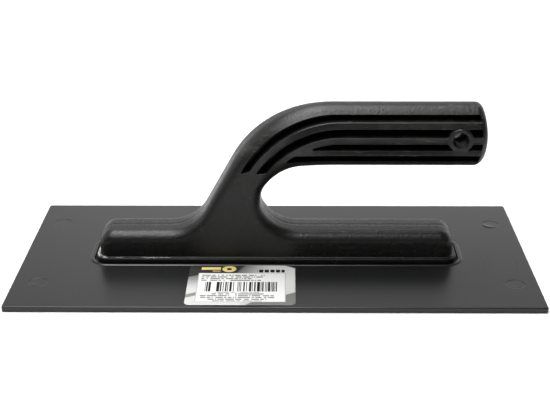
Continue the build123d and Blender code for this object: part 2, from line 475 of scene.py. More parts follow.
class Socket:
    """A value socket whose arithmetic adds Math nodes."""

    def __init__(self, shader: "Shader", link: bpy.types.NodeSocket) -> None:
        """Wraps one output socket of a shader's tree."""
        self.shader = shader
        self.link = link

    def _math(self, operation: str, *values: "Socket | float") -> "Socket":
        """One Math node on the given values."""
        return self.shader.node("ShaderNodeMath", {"operation": operation}, dict(enumerate(values)))

    def __add__(self, other: "Socket | float") -> "Socket":
        """The sum."""
        return self._math("ADD", self, other)

    def __radd__(self, other: float) -> "Socket":
        """The sum with a number on the left."""
        return self._math("ADD", other, self)

    def __sub__(self, other: "Socket | float") -> "Socket":
        """The difference."""
        return self._math("SUBTRACT", self, other)

    def __rsub__(self, other: float) -> "Socket":
        """The difference from a number."""
        return self._math("SUBTRACT", other, self)

    def __mul__(self, other: "Socket | float") -> "Socket":
        """The product."""
        return self._math("MULTIPLY", self, other)

    def __rmul__(self, other: float) -> "Socket":
        """The product with a number on the left."""
        return self._math("MULTIPLY", other, self)

    def __gt__(self, other: "Socket | float") -> "Socket":
        """One where this is greater, else nought."""
        return self._math("GREATER_THAN", self, other)

    def __lt__(self, other: "Socket | float") -> "Socket":
        """One where this is less, else nought."""
        return self._math("LESS_THAN", self, other)

    def __abs__(self) -> "Socket":
        """The size without its sign."""
        return self._math("ABSOLUTE", self)

    def at_least(self, other: "Socket | float") -> "Socket":
        """The greater of the two."""
        return self._math("MAXIMUM", self, other)

    def at_most(self, other: "Socket | float") -> "Socket":
        """The lesser of the two."""
        return self._math("MINIMUM", self, other)

    def floor(self) -> "Socket":
        """The whole number below."""
        return self._math("FLOOR", self)

    def root(self) -> "Socket":
        """The square root."""
        return self._math("SQRT", self)

    def ramp(self, low: float, high: float, first: float = 0.0, last: float = 1.0) -> "Socket":
        """A soft change between two values.

        Args:
            low: Where the change begins.
            high: Where it ends.
            first: The value below low.
            last: The value above high.

        Returns:
            The changed value.
        """
        values = {"Value": self, "From Min": low, "From Max": high, "To Min": first, "To Max": last}
        return self.shader.node("ShaderNodeMapRange", {"interpolation_type": "SMOOTHSTEP"}, values, "Result")


class Shader:
    """The node tree of a material or of the surroundings."""

    def __init__(self, owner: bpy.types.Material | bpy.types.World) -> None:
        """Empties the owner's tree and starts it with its surface: Principled, or a background."""
        room = isinstance(owner, bpy.types.World)
        self.owner = owner
        self.owner.use_nodes = True
        self.tree = owner.node_tree
        self.tree.nodes.clear()
        self.surface = self.tree.nodes.new("ShaderNodeBackground" if room else "ShaderNodeBsdfPrincipled")
        output = self.tree.nodes.new("ShaderNodeOutputWorld" if room else "ShaderNodeOutputMaterial")
        self.tree.links.new(self.surface.outputs[0], output.inputs["Surface"])

    def node(
        self,
        kind: str,
        settings: dict[str, object],
        values: dict[object, object],
        output: object = 0,
    ) -> Socket:
        """Adds a node: its settings first, then the values or links of its sockets.

        Args:
            kind: The node's type.
            settings: Its properties.
            values: Values or sockets by input name or number.
            output: The output's name or number.

        Returns:
            The wrapped output.
        """
        made = self.tree.nodes.new(kind)
        for key, value in settings.items():
            setattr(made, key, value)
        for key, value in values.items():
            self.set(made.inputs[key], value)
        return Socket(self, made.outputs[output])

    def set(self, target: bpy.types.NodeSocket, value: object) -> None:
        """Gives a socket a link or a constant.

        Args:
            target: The input socket.
            value: A socket, a number, a vector, or a colour of three parts.
        """
        if isinstance(value, Socket):
            self.tree.links.new(value.link, target)
        elif isinstance(value, tuple) and len(value) == 3 and target.type == "RGBA":
            target.default_value = (*value, 1.0)
        else:
            target.default_value = value

    def finish(self, **values: object) -> bpy.types.Material | bpy.types.World:
        """Sets the surface's sockets.

        Args:
            **values: The sockets' values by name, with _ for a space.

        Returns:
            The material or the surroundings.
        """
        for key, value in values.items():
            self.set(self.surface.inputs[key.replace("_", " ")], value)
        return self.owner

    def place(self) -> Socket:
        """The point on the object, in metres."""
        return self.node("ShaderNodeTexCoord", {}, {}, "Object")

    def axes(self, vector: Socket) -> tuple[Socket, Socket, Socket]:
        """A vector's three parts."""
        parts = self.node("ShaderNodeSeparateXYZ", {}, {0: vector})
        return tuple(Socket(self, parts.link.node.outputs[k]) for k in range(3))

    def stretched(self, vector: Socket, scale: tuple[float, float, float], turn: float = 0.0) -> Socket:
        """The point scaled on each axis after a turn about Z, for streaks."""
        values = {"Vector": vector, "Scale": scale, "Rotation": (0.0, 0.0, turn)}
        return self.node("ShaderNodeMapping", {"vector_type": "POINT"}, values)

    def noise(self, vector: Socket, scale: float, detail: float = 3.0, rough: float = 0.5) -> Socket:
        """Soft noise from nought to one."""
        values = {"Vector": vector, "Scale": scale, "Detail": detail, "Roughness": rough}
        return self.node("ShaderNodeTexNoise", {}, values)

    def cells(self, vector: Socket, scale: float) -> Socket:
        """The distance to the nearest scattered point."""
        return self.node("ShaderNodeTexVoronoi", {}, {"Vector": vector, "Scale": scale}, "Distance")

    def chance(self, vector: Socket) -> Socket:
        """A chance value for each whole-number cell of a vector."""
        return self.node("ShaderNodeTexWhiteNoise", {}, {"Vector": vector}, "Value")

    def vector(self, x: Socket | float, y: Socket | float, z: Socket | float = 0.0) -> Socket:
        """A vector of three values."""
        return self.node("ShaderNodeCombineXYZ", {}, {0: x, 1: y, 2: z})

    def blend(self, share: Socket | float, first: object, second: object) -> Socket:
        """Mixes two colours."""
        return self.node("ShaderNodeMix", {"data_type": "RGBA"}, {0: share, 6: first, 7: second}, 2)

    def bump(self, height: Socket, strength: float, distance: float) -> Socket:
        """A bumped normal."""
        return self.node("ShaderNodeBump", {}, {"Height": height, "Strength": strength, "Distance": distance})

    def attribute(self, name: str) -> Socket:
        """A number kept on the mesh's points."""
        return self.node("ShaderNodeAttribute", {"attribute_name": name}, {}, "Fac")


@dataclass(frozen=True)
class HandlePlastic:
    """Black moulded plastic with a fine spark-eroded grain, rub marks and fine scratches."""

    colour: Colour = (0.0046, 0.0046, 0.0040)
    worn: Colour = (0.085, 0.084, 0.078)
    parting: Colour = (0.002, 0.002, 0.002)
    roughness: float = 0.40
    grain: float = 0.90

    def material(self) -> bpy.types.Material:
        """Builds the material: grain in the bump, rubs in colour and gloss, scratches as thin streaks."""
        s = Shader(bpy.data.materials.new("handle_plastic"))
        p = s.place()
        _, y, z = s.axes(p)
        grain = s.noise(p, 900.0, 3.0, 0.65)
        pores = s.cells(p, 700.0)
        mottle = s.noise(p, 38.0, 4.0, 0.6)
        sparkle = s.noise(p, 1000.0, 2.0, 0.7).ramp(0.42, 0.68)
        fine = s.noise(s.stretched(p, (150.0, 40.0, 900.0)), 1.0, 3.0, 0.7)
        steep = s.noise(s.stretched(p, (1100.0, 60.0, 110.0)), 1.0, 2.0, 0.6)
        high = z.ramp(0.045, 0.070)
        scratch = fine.ramp(0.57, 0.66) * s.noise(p, 55.0, 2.0).ramp(0.46, 0.60) * (0.08 + high * 0.92)
        scratch = scratch + steep.ramp(0.63, 0.70) * s.noise(p, 40.0, 2.0).ramp(0.54, 0.66) * 0.45
        specks = (1.0 - s.cells(p, 240.0).ramp(0.05, 0.12)) * s.noise(p, 45.0, 1.0).ramp(0.52, 0.62)
        seam = 1.0 - abs(y).ramp(0.00010, 0.00035)
        rub = s.noise(s.stretched(p, (45.0, 45.0, 90.0)), 1.0, 4.0, 0.6).ramp(0.48, 0.72) * high
        wear = (scratch * 0.60 + specks * 0.6 + rub * 0.20).at_most(1.0)
        base = s.blend(wear, self.colour, self.worn)
        base = s.blend(seam * 0.6, base, self.parting)
        gloss = self.roughness + (mottle - 0.5) * 0.10 - rub * 0.04 + seam * 0.25 + specks * 0.1
        gloss = gloss - sparkle * 0.16 + 0.07
        height = grain * 0.7 + pores * 0.5 - scratch * high * 0.25
        return s.finish(
            Base_Color=base,
            Roughness=gloss,
            IOR=1.42,
            Normal=s.bump(height, self.grain, 0.00018),
        )


@dataclass(frozen=True)
class BladePlastic:
    """Satin charcoal plastic: matt grain, a faint swirl from polishing, scuffs and a little dust."""

    colour: Colour = (0.0036, 0.0039, 0.0042)
    dusty: Colour = (0.045, 0.045, 0.045)
    roughness: float = 0.30
    swirl: tuple[float, float] = (0.099, -0.012)

    def material(self) -> bpy.types.Material:
        """Builds the material: swirl rings about one point, long scuffs, dust and grain."""
        s = Shader(bpy.data.materials.new("blade_plastic"))
        p = s.place()
        x, y, _ = s.axes(p)
        grain = s.noise(p, 1900.0, 2.0, 0.6)
        mottle = s.noise(p, 14.0, 4.0, 0.6)
        patch = s.noise(p, 5.0, 2.0, 0.5)
        dx, dy = x - self.swirl[0], y - self.swirl[1]
        radius = (dx * dx + dy * dy).root()
        lap = s.noise(s.vector(radius * 420.0, s.noise(p, 9.0, 1.0) * 1.6), 1.0, 2.0, 0.6)
        near = 1.0 - radius.ramp(0.020, 0.055)
        ring = lap.ramp(0.50, 0.68) * near * s.noise(p, 26.0, 2.0).ramp(0.42, 0.60)
        scuff = s.noise(s.stretched(p, (22.0, 420.0, 60.0), 0.35), 1.0, 3.0, 0.6).ramp(0.66, 0.76)
        scuff = scuff * s.noise(p, 24.0, 2.0).ramp(0.50, 0.65)
        dust = (1.0 - s.cells(p, 330.0).ramp(0.05, 0.12)) * s.noise(p, 30.0, 2.0).ramp(0.50, 0.62)
        base = s.blend((scuff * 0.30 + dust * 0.6 + mottle * 0.12).at_most(1.0), self.colour, self.dusty)
        gloss = self.roughness + (mottle - 0.5) * 0.07 + (patch - 0.5) * 0.08 + ring * 0.06 + scuff * 0.08
        height = grain * 0.6 + mottle * 0.8 + ring * 0.4 - scuff * 0.5
        return s.finish(
            Base_Color=base,
            Roughness=gloss,
            IOR=1.46,
            Normal=s.bump(height, 0.14, 0.00010),
        )


@dataclass(frozen=True)
class Glue:
    """Set contact adhesive: cloudy, glossy, greyer where it is thin."""

    clear: Colour = (0.007, 0.007, 0.006)
    cloudy: Colour = (0.42, 0.42, 0.40)

    def material(self) -> bpy.types.Material:
        """Builds the material: clouded by noise, milky where the mesh says that it was squeezed out."""
        s = Shader(bpy.data.materials.new("adhesive"))
        p = s.place()
        out = s.attribute("squeezed")
        cloud = s.noise(p, 700.0, 3.0, 0.6)
        share = (out * cloud.ramp(0.30, 0.62)).at_most(1.0)
        height = s.noise(p, 1100.0, 2.0)
        return s.finish(
            Base_Color=s.blend(share, self.clear, self.cloudy),
            Roughness=0.34 - out * 0.18 + cloud * 0.16,
            IOR=1.5,
            Normal=s.bump(height, 0.35, 0.0003),
        )


@dataclass(frozen=True)
class LabelPaper:
    """A printed sticker: silver ground with broad diagonals and a painted reflection, a white panel, and
    generic print.
    """

    centre: tuple[float, float]
    half_length: float = 27.7
    silver: Colour = (0.13, 0.13, 0.126)
    # The light silver is the colour of the painted reflection on the silver ground.
    light: Colour = (0.53, 0.53, 0.52)
    dark: Colour = (0.020, 0.019, 0.015)
    ink: Colour = (0.004, 0.004, 0.004)
    white: Colour = (0.64, 0.64, 0.625)
    gold: Colour = (0.66, 0.52, 0.19)
    streak: Colour = (0.20, 0.20, 0.19)
    grey: Colour = (0.13, 0.13, 0.12)
    outline: Colour = (0.15, 0.15, 0.14)
    small_print: Colour = (0.08, 0.08, 0.08)

    # Where the print stands, in millimetres from the label's middle: left, bottom, right, top.
    panel: Box = (-22.7, -19.2, 22.7, 13.3)
    panel_inside: Box = (-22.3, -18.8, 22.3, 12.9)
    gold_bar: Box = (-21.5, 17.2, -11.4, 20.2)
    gold_rule: Box = (-15.5, 15.2, -11.4, 16.0)
    ring_at: tuple[float, float] = (-6.9, 18.0)
    ring_radii: tuple[float, float] = (1.3, 3.5)
    block_row: Box = (7.9, 14.1, 22.2, 17.4)
    bar_field: Box = (-18.4, -7.8, 18.3, 3.0)
    upper_rows: Box = (-20.8, 4.2, 13.0, 11.8)
    lower_rows: Box = (-22.0, -18.4, 20.0, -8.6)

    @staticmethod
    def window(u: Socket, v: Socket, box: Box) -> Socket:
        """One inside a box (left, bottom, right, top) of print, in millimetres, else nought."""
        return (u > box[0]) * (u < box[2]) * (v > box[1]) * (v < box[3])

    def material(self) -> bpy.types.Material:
        """Builds the print, and a painted reflection on its silver, from masks over the label's own
        millimetres.
        """
        s = Shader(bpy.data.materials.new("label_paper"))
        p = s.place()
        x, y, _ = s.axes(p)
        u = (x - self.centre[0]) * (1 / MM)
        v = (y - self.centre[1]) * (1 / MM)
        panel = self.window(u, v, self.panel)
        rim = panel - self.window(u, v, self.panel_inside)
        printed = s.blend(panel, self.ground(s, u, v), self.white)
        printed = s.blend(rim * 0.55, printed, self.outline)
        printed = s.blend(self.gold_marks(u, v), printed, self.gold)
        printed = s.blend(self.blocks(u, v), printed, self.ink)
        printed = s.blend(self.bars(s, u, v), printed, self.ink)
        printed = s.blend(self.rows(s, u, v) * 0.9, printed, self.small_print)
        fibre = s.noise(s.stretched(p, (900.0, 1600.0, 900.0)), 1.0, 3.0)
        return s.finish(
            Base_Color=printed,
            Roughness=0.36 + fibre * 0.10,
            IOR=1.33,
            Normal=s.bump(fibre, 0.12, 0.00008),
        )

    def ground(self, s: Shader, u: Socket, v: Socket) -> Socket:
        """The silver ground: a painted reflection that lightens it, slanting bands, and a fine speckle.

        Args:
            s: The label's node tree.
            u: Millimetres to the right of the label's middle.
            v: Millimetres up from it.

        Returns:
            The ground's colour.
        """
        from_left = u + self.half_length
        # Painted reflection: the silver is lightened according to where it lies on the label.
        ground = s.blend(self.painted_sheen(u, v), self.silver, self.light)
        streak = 1.0 - abs(v + 13.0 - from_left * 0.5).ramp(1.5, 2.2)
        ground = s.blend(streak * (u < 0.0), ground, self.streak)
        low = (u * 0.6 - v - 25.0).ramp(-0.4, 0.4) * (u > 12.0)
        strip = (u - v * 0.9 - 23.0).ramp(-1.0, 1.0) * (v < -19.0)
        ground = s.blend(low.at_least(strip), ground, self.grey)
        band = (v - 8.6 - from_left * 0.45).ramp(-0.3, 0.3) * (u < -20.0)
        top = (v > 12.5) * (1.0 - (u + 3.3 - (v - 14.3) * 0.48).ramp(-0.4, 2.2))
        cut = (v - 24.6 + (u - 19.3) * 0.67).ramp(-0.3, 0.3)
        ground = s.blend(band.at_least(top).at_least(cut), ground, self.dark)
        speck = s.noise(s.vector(u * 6.0, v * 6.0), 1.0, 2.0)
        return s.blend((speck - 0.5) * 0.10, ground, (1.0, 1.0, 1.0))

    @staticmethod
    def painted_sheen(u: Socket, v: Socket) -> Socket:
        """Painted reflection on the silver ground: lighter to the right above the panel, and downwards at its
        left.

        Args:
            u: Millimetres to the right of the label's middle.
            v: Millimetres up from it.

        Returns:
            The share of the light silver.
        """
        above = (v > 12.5) * (u + 4.0 - v * 0.2).ramp(-2.0, 17.0)
        left = (v < 12.5) * (u < 0.0) * (9.0 - v).ramp(-3.0, 16.0)
        right = (v < 12.5) * (u > 0.0) * (0.78 + v.ramp(-12.0, 6.0) * 0.2)
        return above + left + right

    def gold_marks(self, u: Socket, v: Socket) -> Socket:
        """A plain gold bar over a thin rule, and a plain ring beside them."""
        bar = self.window(u, v, self.gold_bar)
        rule = self.window(u, v, self.gold_rule)
        du, dv = (u - self.ring_at[0]) * 0.95, v - self.ring_at[1]
        away = (du * du + dv * dv).root()
        ring = (away < self.ring_radii[1]) - (away < self.ring_radii[0])
        return (bar + rule + ring).at_most(1.0)

    def blocks(self, u: Socket, v: Socket) -> Socket:
        """Five plain dark blocks in a row."""
        step = u * 0.34
        part = step - step.floor()
        return self.window(u, v, self.block_row) * (part < 0.74)

    def bars(self, s: Shader, u: Socket, v: Socket) -> Socket:
        """Upright bars of chance width."""
        cell = s.vector((u * 2.7).floor(), 3.0, 7.0)
        return self.window(u, v, self.bar_field) * (s.chance(cell) > 0.46)

    def rows(self, s: Shader, u: Socket, v: Socket) -> Socket:
        """Rows of short dashes: four from the left edge above the bars, five about the middle below.

        Args:
            s: The label's node tree.
            u: Millimetres to the right of the label's middle.
            v: Millimetres up from it.

        Returns:
            One where a dash is.
        """
        row = v * 0.52
        line = row.floor()
        part = row - line
        reach = s.chance(s.vector(2.0, line, 5.0))
        high = self.window(u, v, self.upper_rows) * (u < 4.0 + reach * 8.0)
        low = self.window(u, v, self.lower_rows) * (abs(u + 1.5) < 11.0 + reach * 9.0)
        dash = s.chance(s.vector((u * 1.6).floor(), line, 1.0)) > 0.24
        word = s.chance(s.vector((u * 0.35).floor(), line, 9.0)) > 0.10
        return (high + low).at_most(1.0) * (part > 0.22) * (part < 0.80) * dash * word


# ---------------------------------------------------------------------------------------------- handle


@dataclass(frozen=True)
class Lip:
    """One long edge of a slot: level along the grip, then down an arc over the bend."""

    level: float
    radius: float
    start: float
    low: float

    def points(self, right: float) -> np.ndarray:
        """The edge from a place on the grip to the lower end of its arc.

        Args:
            right: Where its level stretch begins.

        Returns:
            Its points in the side view.
        """
        turn = np.linspace(0, math.acos((self.low - self.level + self.radius) / self.radius), 90)
        x = self.start - self.radius * np.sin(turn)
        z = self.level - self.radius + self.radius * np.cos(turn)
        return np.vstack([[[right, self.level]], np.stack([x, z], axis=1)])


@dataclass
class Handle:
    """The one-piece handle: foot, neck and slotted grip, each side a relief over the side view."""

    # Foot and neck; the throat's corners are x, z and the radius of the arc in each.
    foot_left: float = -94.1
    foot_right: float = 94.9
    foot_top: float = 19.4
    foot_end_radius: float = 8.0
    base: float = 3.2
    half_width: float = 12.5
    edge: float = 5.6
    slope: float = 61.0
    neck_front_x: float = -43.8
    neck_front_radius: float = 23.0
    throat: tuple[tuple[float, float, float], ...] = (
        (3.8, 54.3, 23.0),
        (-7.7, 41.9, 13.0),
        (-7.7, 32.0, 12.0),
        (1.25, 19.4, 20.5),
    )
    draft: float = math.radians(2.2)
    parting_bead: float = 0.10
    # The land's rows from the near side to the far one: share of the half width, and of the slip.
    land_strips: tuple[tuple[float, float], ...] = (
        (-0.72, 0.72),
        (-0.4, 0.4),
        (-0.05, 0.05),
        (-0.012, 0.03),
        (0.05, 0.05),
        (0.4, 0.4),
        (0.72, 0.72),
    )

    # Bend and grip. The section turns from slab to oval over the bend's turn and above oval_from, and
    # the grip's domed end eases in from dome_from before its end.
    bend_radius: float = 59.3
    turn: float = 80.0
    oval_from: float = 34.0
    oval_over: float = 12.0
    grip_top: float = 87.9
    grip_bottom: float = 54.3
    grip_end: float = 108.8
    grip_half: float = 14.0
    grip_land: float = 0.3
    end_radius: float = 3.6
    end_reach: float = 6.0
    end_bulge: float = 2.3
    dome_from: float = 16.0
    dome_over: float = 10.0

    # Slots. Their rings are distance outwards from the outline, and drop below the grip's surface for
    # the rounded lip or height above the web for the wall's foot.
    slot_end: float = 106.1
    long_slots: tuple[tuple[Lip, Lip], ...] = (
        (Lip(84.0, 54.0, 31.0, 53.0), Lip(80.7, 54.0, 33.0, 54.4)),
        (Lip(77.3, 52.0, 34.2, 53.0), Lip(73.2, 48.0, 34.2, 53.2)),
    )
    third_slot: Lip = Lip(69.7, 44.1, 34.2, 67.2)
    third_slot_floor: float = 66.2
    fourth_slot: tuple[tuple[float, float], ...] = ((10.4, 62.8), (8.4, 61.8), (5.6, 59.2))
    lip_rounding: tuple[tuple[float, float], ...] = (
        (0.46, 0.0),
        (0.34, -0.05),
        (0.20, -0.02),
        (0.08, 0.14),
        (0.0, 0.36),
        (-0.05, 0.8),
    )
    wall_foot: tuple[tuple[float, float], ...] = ((-0.26, 0.22), (-0.40, 0.0))
    web: float = 2.0

    # Boss and hanging hole: radius and share of the boss's height, then radius and drop from its face.
    # The skin of flash reaches in by least and most, and most at flash_side, an angle.
    hole: tuple[float, float] = (94.8, 71.8)
    hole_radius: float = 4.0
    boss_half: float = 13.9
    boss_radius: float = 6.60
    boss_rise: tuple[tuple[float, float], ...] = ((6.04, 0.0), (5.95, 0.4), (5.84, 0.85))
    boss_mouth: tuple[tuple[float, float], ...] = (
        (5.70, 0.02),
        (5.45, 0.0),
        (4.30, 0.0),
        (4.12, 0.05),
        (4.03, 0.18),
        (4.0, 0.45),
    )
    boss_points: int = 72
    flash: tuple[float, float] = (0.12, 1.7)
    flash_side: float = 0.75
    flash_half: float = 0.25
    flash_root: float = 0.5
    bore_straight: float = 8.0

    # Flange: distance inside its outline, and height.
    flange_profile: tuple[tuple[float, float], ...] = (
        (0.0, 3.0),
        (0.0, 4.4),
        (0.04, 4.9),
        (0.13, 5.14),
        (0.28, 5.29),
        (0.48, 5.34),
        (1.45, 5.34),
        (1.72, 5.44),
        (1.92, 5.75),
        (2.2, 6.2),
        (4.0, 6.2),
    )

    # The mesh: spacing along the outline and over the sides, the grid's reach and how far it stays from
    # the rings and the base, and the depth of the edge's bands on the slab, the oval and the grip's end.
    step: float = 0.9
    pitch: float = 1.5
    grid: Box = (-95.0, 3.0, 110.0, 89.0)
    clear: float = 0.55
    base_clear: float = 0.7
    base_points: int = 90
    band_depths: tuple[float, float, float] = (5.0, 3.15, 2.85)
    bands: int = 10

    def __post_init__(self) -> None:
        """Works out the bend's centre, the edge lines without the grip's end, and the outline."""
        low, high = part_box("handle")
        self.lift = np.array([0.0, 0.0, low.z / MM - BLADE_TOP])
        self.grip_top = min(self.grip_top, high.z / MM - 0.01)
        slope = math.radians(self.slope)
        self.top_x = self.neck_front_x + (self.grip_top - self.foot_top) / math.tan(slope)
        bend_x = self.top_x + self.bend_radius * math.tan(slope / 2)
        self.bend = np.array([bend_x, self.grip_top - self.bend_radius])
        flat = self.outline()
        self.line = self.domed(flat)
        self.near_end = flat[:, 0] > self.grip_end - self.end_reach
        first, last = np.flatnonzero(flat[:, 0] > self.grip_end - self.end_radius)[[0, -1]]
        beyond = self.grip_end + 20.0
        self.upper = np.vstack([flat[:first], [[beyond, self.grip_top]]])
        self.lower = np.vstack([[[beyond, self.grip_bottom]], flat[last + 1 :]])

    def outline(self) -> np.ndarray:
        """The flat-ended side view, from the base at the left, over the grip, to the base at the right."""
        corners = [
            (self.foot_left, self.base),
            (self.foot_left, self.foot_top),
            (self.neck_front_x, self.foot_top),
            (self.top_x, self.grip_top),
            (self.grip_end, self.grip_top),
            (self.grip_end, self.grip_bottom),
            *[(x, z) for x, z, _ in self.throat],
            (self.foot_right, self.foot_top),
            (self.foot_right, self.base),
        ]
        radii = [
            self.foot_end_radius,
            self.neck_front_radius,
            self.bend_radius,
            self.end_radius,
            self.end_radius,
            *[radius for _, _, radius in self.throat],
            self.foot_end_radius,
        ]
        return resample(rounded_path(np.array(corners), np.array(radii)), self.step, False)

    def fall(self, at: np.ndarray) -> np.ndarray:
        """How far the grip's domed end has drawn back: a parabola over the height, eased in before it.

        Args:
            at: Points of the side view.

        Returns:
            The distance for each point.
        """
        middle, half = (self.grip_top + self.grip_bottom) / 2, (self.grip_top - self.grip_bottom) / 2
        high = np.where(at[:, 1] > self.grip_bottom - 1.0, (at[:, 1] - middle) / half, 0.0)
        return self.end_bulge * high**2 * eased(at[:, 0] - self.grip_end + self.dome_from, self.dome_over)

    def domed(self, flat: np.ndarray) -> np.ndarray:
        """Points of a side view with a flat end, moved to where the domed end has them."""
        return np.column_stack([flat[:, 0] - self.fall(flat), flat[:, 1]])

    def share(self, at: np.ndarray) -> np.ndarray:
        """How far the section has turned from a slab (0) to an oval (1): a soft step over the bend.

        Args:
            at: Points of the side view.

        Returns:
            The share for each point.
        """
        away = at - self.bend
        angle = np.degrees(np.arctan2(-away[:, 0], away[:, 1]))
        return eased(self.turn - angle, self.turn) * eased(at[:, 1] - self.oval_from, self.oval_over)

    def section(self, share: np.ndarray) -> tuple[np.ndarray, np.ndarray, np.ndarray]:
        """The section's parts, each mixed from the slab's and the oval's.

        Args:
            share: How far the section has turned to an oval.

        Returns:
            The half width of the land at the parting line, the rise of the rounded edge from there to
            the full half width, and the land's lean.
        """
        half = self.half_width + (self.grip_half - self.half_width) * share
        rise = self.edge + (self.grip_half - self.grip_land - self.edge) * share
        return half - rise, rise, self.draft * (1 - share)

    def relief(self, at: np.ndarray) -> np.ndarray:
        """The side's half width over the side view.

        The edge is a quarter ellipse: half width = land + rise x sqrt(1 - (1 - depth / reach)^2), where
        depth is the distance to the outline, and reach grows from the edge radius to half the grip.
        The ellipse is entered where it leans as the drafted land does, so that no crease shows.
        Near the grip's end the section shrinks by a quarter round.

        Args:
            at: Points of the side view.

        Returns:
            The half width at each point.
        """
        top, bottom = distance_to(at, self.upper), distance_to(at, self.lower)
        share = self.share(at)
        land, rise, lean = self.section(share)
        reach = self.edge + ((top + bottom) / 2 - self.edge) * share
        slip = land * np.tan(lean)
        flat_x = at[:, 0] + self.fall(at)
        over = np.clip(flat_x - (self.grip_end - self.end_radius), 0, self.end_radius)
        shrink = self.end_radius - np.sqrt(self.end_radius**2 - over**2)
        entry = reach * (1 - np.cos(lean))
        depth = np.maximum(np.minimum(top, bottom) - shrink - slip, 0) + entry
        part = np.clip(depth / np.maximum(reach - shrink - slip, 0.1), 0, 1)
        skip = rise * np.sin(lean)
        return land - skip + (rise + skip - shrink) * np.sqrt(1 - (1 - part) ** 2)

    def slip(self) -> np.ndarray:
        """How far the drafted land falls from the parting line to its edge; nought at the grip's end."""
        land, _, lean = self.section(self.share(self.line))
        return np.where(self.near_end, 0.0, land * np.tan(lean))

    def boss_arc(self, high: float, low: float, side: int) -> np.ndarray:
        """The arc around the boss from one height to another.

        Args:
            high: The height it starts at.
            low: The height it ends at.
            side: Left (-1) or right (1) of the boss.

        Returns:
            Its points in the side view.
        """
        ends = np.arcsin((np.array([high, low]) - self.hole[1]) / self.boss_radius)
        angle = np.linspace(ends[0], ends[1], 12)
        x = self.hole[0] + side * self.boss_radius * np.cos(angle)
        return np.stack([x, self.hole[1] + self.boss_radius * np.sin(angle)], axis=1)

    def past_boss(self, high: float, low: float) -> np.ndarray:
        """The short part of a slot between the boss and the grip's end."""
        return np.vstack([self.boss_arc(high, low, 1), [[self.slot_end, low], [self.slot_end, high]]])

    def slots(self) -> list[np.ndarray]:
        """The closed outlines of one side's slots; the boss parts the second and the third in two."""
        end = self.slot_end
        (first_top, first_bottom), (top, bottom) = self.long_slots
        first = np.vstack([first_top.points(end), first_bottom.points(end)[::-1]])
        arc = self.boss_arc(top.level, bottom.level, -1)[::-1]
        second = np.vstack([arc, top.points(0.0)[1:], bottom.points(0.0)[:0:-1]])
        high, low = self.third_slot.level, self.third_slot_floor
        lip = self.third_slot.points(0.0)[1:]
        third = np.vstack([self.boss_arc(high, low, -1)[::-1], lip, [[lip[-1, 0] - 0.6, low]]])
        corners = np.array(self.fourth_slot)
        fourth = np.vstack([[[end, corners[0, 1]]], corners, [[end, corners[-1, 1]]]])
        flat = [
            first,
            second,
            self.past_boss(top.level, bottom.level),
            third,
            self.past_boss(high, low),
            fourth,
        ]
        return [self.domed(resample(outline, 0.30, True)) for outline in flat]

    def terraces(self, outline: np.ndarray) -> list[np.ndarray]:
        """The nested rings of one slot, from the rounded lip down its drafted wall to the web.

        Args:
            outline: The slot's closed outline.

        Returns:
            The rings, as points (x, z, half width).
        """
        loop = resample(soften(outline, 1.6), 0.62, True)
        if signed_area(loop) < 0:
            loop = loop[::-1]
        outward = normals_right(loop, True)
        rings = []
        for away, drop in self.lip_rounding:
            ring = loop + outward * away
            rings.append(np.column_stack([ring, self.relief(ring) - drop]))
        for away, above in self.wall_foot:
            rings.append(np.column_stack([loop + outward * away, np.full(len(loop), self.web + above)]))
        return rings

    def boss_rings(self) -> list[np.ndarray]:
        """The rings of the boss and of the bore's rounded mouth, from the grip's surface inwards."""
        rings = []
        start = self.relief(circle(self.hole, self.boss_rise[0][0], self.boss_points))
        for radius, risen in self.boss_rise:
            ring = circle(self.hole, radius, self.boss_points)
            rings.append(np.column_stack([ring, start + (self.boss_half - start) * risen]))
        for radius, drop in self.boss_mouth:
            ring = circle(self.hole, radius, self.boss_points)
            rings.append(np.column_stack([ring, np.full(self.boss_points, self.boss_half - drop)]))
        return rings

    def edge_bands(self, builder: MeshBuilder) -> list[np.ndarray]:
        """The rounded edge: rows of points that follow the outline, closer together at the land.

        Args:
            builder: Where the faces go.

        Returns:
            Each row's vertex numbers, from the land inwards.
        """
        slab, oval, end = self.band_depths
        inward = normals_right(self.line, False)
        depth = np.where(self.near_end, end, slab + (oval - slab) * self.share(self.line))
        depth = smooth_values(depth, 5)
        slip = self.slip()
        bands = []
        for place in 1 - np.cos(np.linspace(0, math.pi / 2, self.bands)):
            at = self.line + inward * (slip + depth * place)[:, None]
            bands.append(builder.add(np.column_stack([at, self.relief(at)])))
        builder.join(bands[::-1], False)
        return bands

